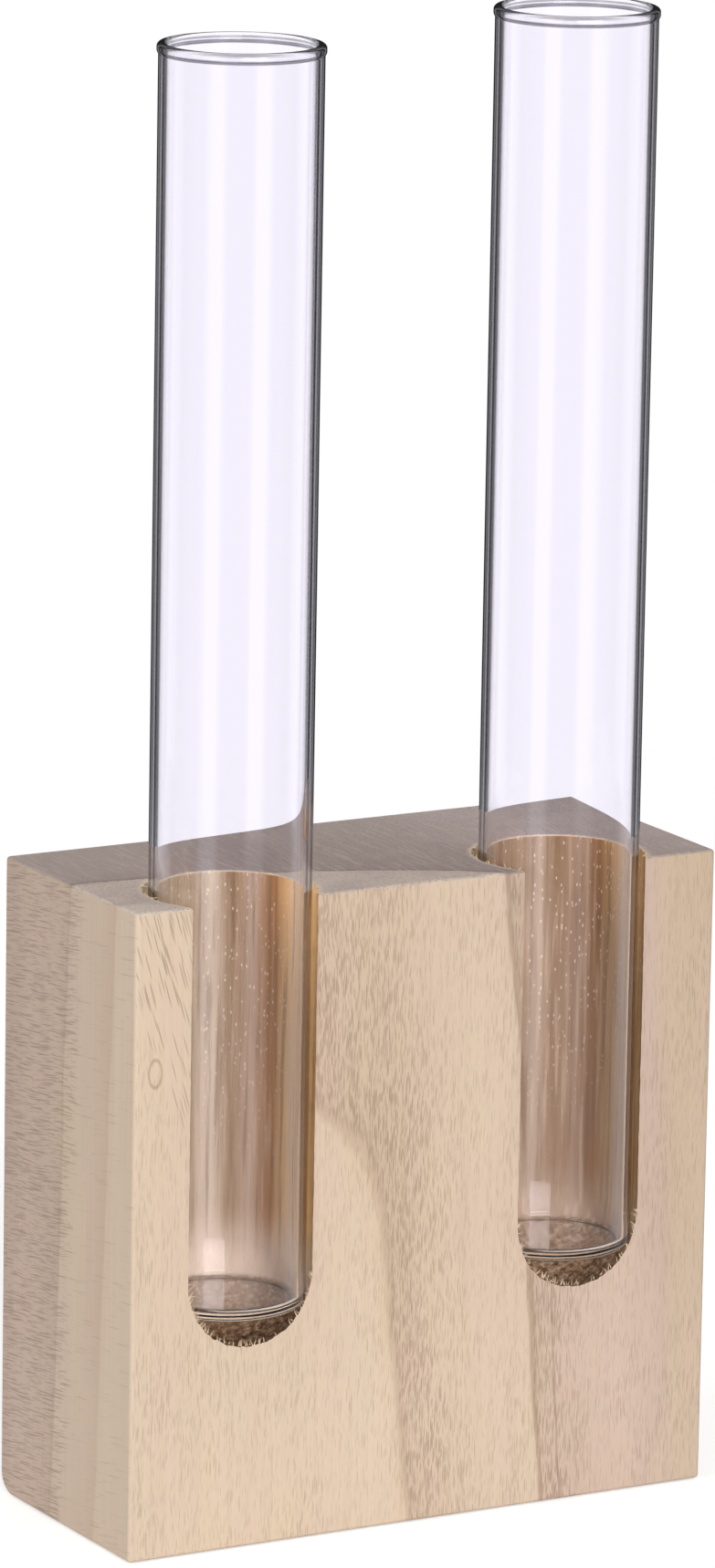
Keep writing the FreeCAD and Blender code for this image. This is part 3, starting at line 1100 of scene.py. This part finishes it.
# %% [markdown]
# ## Floor and light
# The floor is a pale disc that keeps the soft shadow near the block and fades out into
# the white of the world. It is brighter where it is looked at, straight or through
# glass, and thinner in mirrored light, which keeps the bores from turning milky.

# %% Floor
FLOOR_DROP = 0.2 * MM
FLOOR_SIDES = 96
FLOOR_RADIUS = 600 * MM
FLOOR_FADE = 180
FLOOR_GONE = 570
FLOOR_PAINT = (0.86, 0.86, 0.86, 1)
FLOOR_LIFT = 0.46
MIRRORED_LOSS = 0.35
WHITE = (1, 1, 1, 1)

start_clean()
bpy.ops.mesh.primitive_circle_add(vertices=FLOOR_SIDES, radius=FLOOR_RADIUS, fill_type="NGON",
                                  location=(0, 0, block_low.z - FLOOR_DROP))
floor = bpy.context.object
floor.name = "floor"
floor_paint, finish = new_finish("pale floor")
x, y, _ = finish.split(finish.place())
fade = ((x * x + y * y) ** 0.5).rise(FLOOR_FADE, FLOOR_GONE)
straight, mirrored = straight_and_mirrored(finish)
seen = finish.ray("Is Camera Ray").most(straight)
paint = finish.add("ShaderNodeBsdfDiffuse", {}, {"Color": FLOOR_PAINT})
lift = finish.add("ShaderNodeEmission", {}, {"Color": WHITE, "Strength": seen * FLOOR_LIFT})
solid = finish.add("ShaderNodeAddShader", {}, {0: paint, 1: lift})
gone = finish.add("ShaderNodeBsdfTransparent")
thin = fade.most(mirrored * MIRRORED_LOSS)
finish.surface(finish.add("ShaderNodeMixShader", {}, {0: thin, 1: solid, 2: gone}))
floor.data.materials.append(floor_paint)

# %% [markdown]
# The world is white behind the object and through the glass, and it lights the wood at a
# plain level. What glass mirrors is a dim room: two soft boxes in front give the pale
# bands, and a pale wall and a narrow strip behind leave only thin dark lines at the
# edges. The room is built round the photograph's line of sight.

# %% World
# The bands are cosines of the level angle to the photograph's line of sight, and the
# steps are heights on the sphere of directions.
CAMERA_AZIMUTH = math.radians(29.518)
WORLD_LIGHT = 0.38
DIM_ROOM = 0.035
SOFT_BOX = 0.6
BACK_WALL = 0.9
EDGE_STRIP = 0.45
CEILING = 0.5
BACKDROP = 1.14
BACKDROP_TINT = (0.95, 0.93, 1.0, 1)
BOX_BAND = (-0.96, -0.89, -0.71, -0.62)
WALL_BAND = (0.05, 0.3, 0.62, 0.74)
STRIP_BAND = (0.85, 0.88, 0.92, 0.95)
CEILING_STEP = (0.15, 0.5)
BACKDROP_STEP = (0.35, 0.12)


def world_finish():
    """White behind things, plain light on them, and soft boxes in what they reflect."""
    world = bpy.data.worlds.new("studio")
    bpy.context.scene.world = world
    finish = Finish(world)
    camera = finish.ray("Is Camera Ray")
    in_glass = finish.ray("Is Glossy Ray").most(finish.ray("Is Transmission Ray"))
    straight, _ = straight_and_mirrored(finish)
    x, y, z = finish.split(finish.add("ShaderNodeTexCoord", {}, {}, "Generated"))
    across = x * math.sin(CAMERA_AZIMUTH) + y * math.cos(CAMERA_AZIMUTH)
    away = across / (x * x + y * y) ** 0.5
    boxes = away.between(*BOX_BAND) * SOFT_BOX
    wall = away.between(*WALL_BAND) * BACK_WALL
    strip = away.between(*STRIP_BAND) * EDGE_STRIP
    room = DIM_ROOM + boxes + wall + strip + z.rise(*CEILING_STEP) * CEILING
    backdrop = straight * z.rise(*BACKDROP_STEP) * BACKDROP
    studio = in_glass * (1 - straight) * room
    plain = (1 - camera.most(in_glass)) * WORLD_LIGHT
    background = finish.add("ShaderNodeBackground", {}, {
        "Color": finish.mixed(in_glass, WHITE, BACKDROP_TINT),
        "Strength": camera + backdrop + studio + plain})
    finish.add("ShaderNodeOutputWorld", {}, {"Surface": background})
    print("A world of", len(finish.tree.nodes), "nodes")


world_finish()

# %% Lamps
# Each lamp has a name, a place in metres and a power in watts.
LAMP_WIDTH = 1.3
LAMPS = [
    ("key", (-0.45, -2.1, 0.62), 33.5),
    ("fill", (-1.8, -0.3, 0.7), 11),
    ("back", (1.3, 1.8, 1.0), 11),
]


def soft_lamp(name, place, power):
    """A square lamp that looks at the middle of the block."""
    light = bpy.data.lights.new(name, "AREA")
    light.shape = "SQUARE"
    light.size = LAMP_WIDTH
    light.energy = power
    lamp = bpy.data.objects.new(name, light)
    bpy.context.collection.objects.link(lamp)
    lamp.location = place
    lamp.rotation_euler = (block_centre - Vector(place)).to_track_quat("-Z", "Y").to_euler()
    print("The", name, "lamp has", power, "watts")
    return lamp


lamps = {name: soft_lamp(name, place, power) for name, place, power in LAMPS}
lamps["back"].visible_glossy = False
lamps["back"].visible_transmission = False

# %% [markdown]
# ## Camera
# The photograph looks down a little on the vase from its left. The camera was found by
# fitting the corners of the block and the mouths of the tubes to the picture.

# %% Place the camera
CAMERA_PITCH = math.radians(12.56)
CAMERA_ROLL = math.radians(0.984)
CAMERA_DISTANCE = 1.4075
CAMERA_CLIP = 20
AIM_ACROSS = -0.89 * MM
AIM_HEIGHT = 112.86 * MM
SENSOR = 36
LENS = 208.83

forward = Vector((math.sin(CAMERA_AZIMUTH) * math.cos(CAMERA_PITCH),
                  math.cos(CAMERA_AZIMUTH) * math.cos(CAMERA_PITCH),
                  -math.sin(CAMERA_PITCH)))
aim = Vector((AIM_ACROSS * math.cos(CAMERA_AZIMUTH),
              -AIM_ACROSS * math.sin(CAMERA_AZIMUTH),
              AIM_HEIGHT))
lens = bpy.data.cameras.new("camera")
lens.sensor_width = SENSOR
lens.lens = LENS
lens.clip_end = CAMERA_CLIP
camera = bpy.data.objects.new("camera", lens)
bpy.context.collection.objects.link(camera)
camera.location = aim - forward * CAMERA_DISTANCE
level = forward.to_track_quat("-Z", "Y").to_matrix()
camera.rotation_euler = (Matrix.Rotation(CAMERA_ROLL, 3, -forward) @ level).to_euler()
bpy.context.scene.camera = camera
bpy.context.scene.view_settings.view_transform = "Standard"
print("Camera at", [round(value, 3) for value in camera.location], "m")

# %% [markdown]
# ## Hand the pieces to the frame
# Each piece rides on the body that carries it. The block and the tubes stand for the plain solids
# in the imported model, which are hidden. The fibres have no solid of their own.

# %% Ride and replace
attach(block, "block")
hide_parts("wood_block")
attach(fibres, "block")
for name, glass in glass_tubes.items():
    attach(glass, name)
    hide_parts(name)
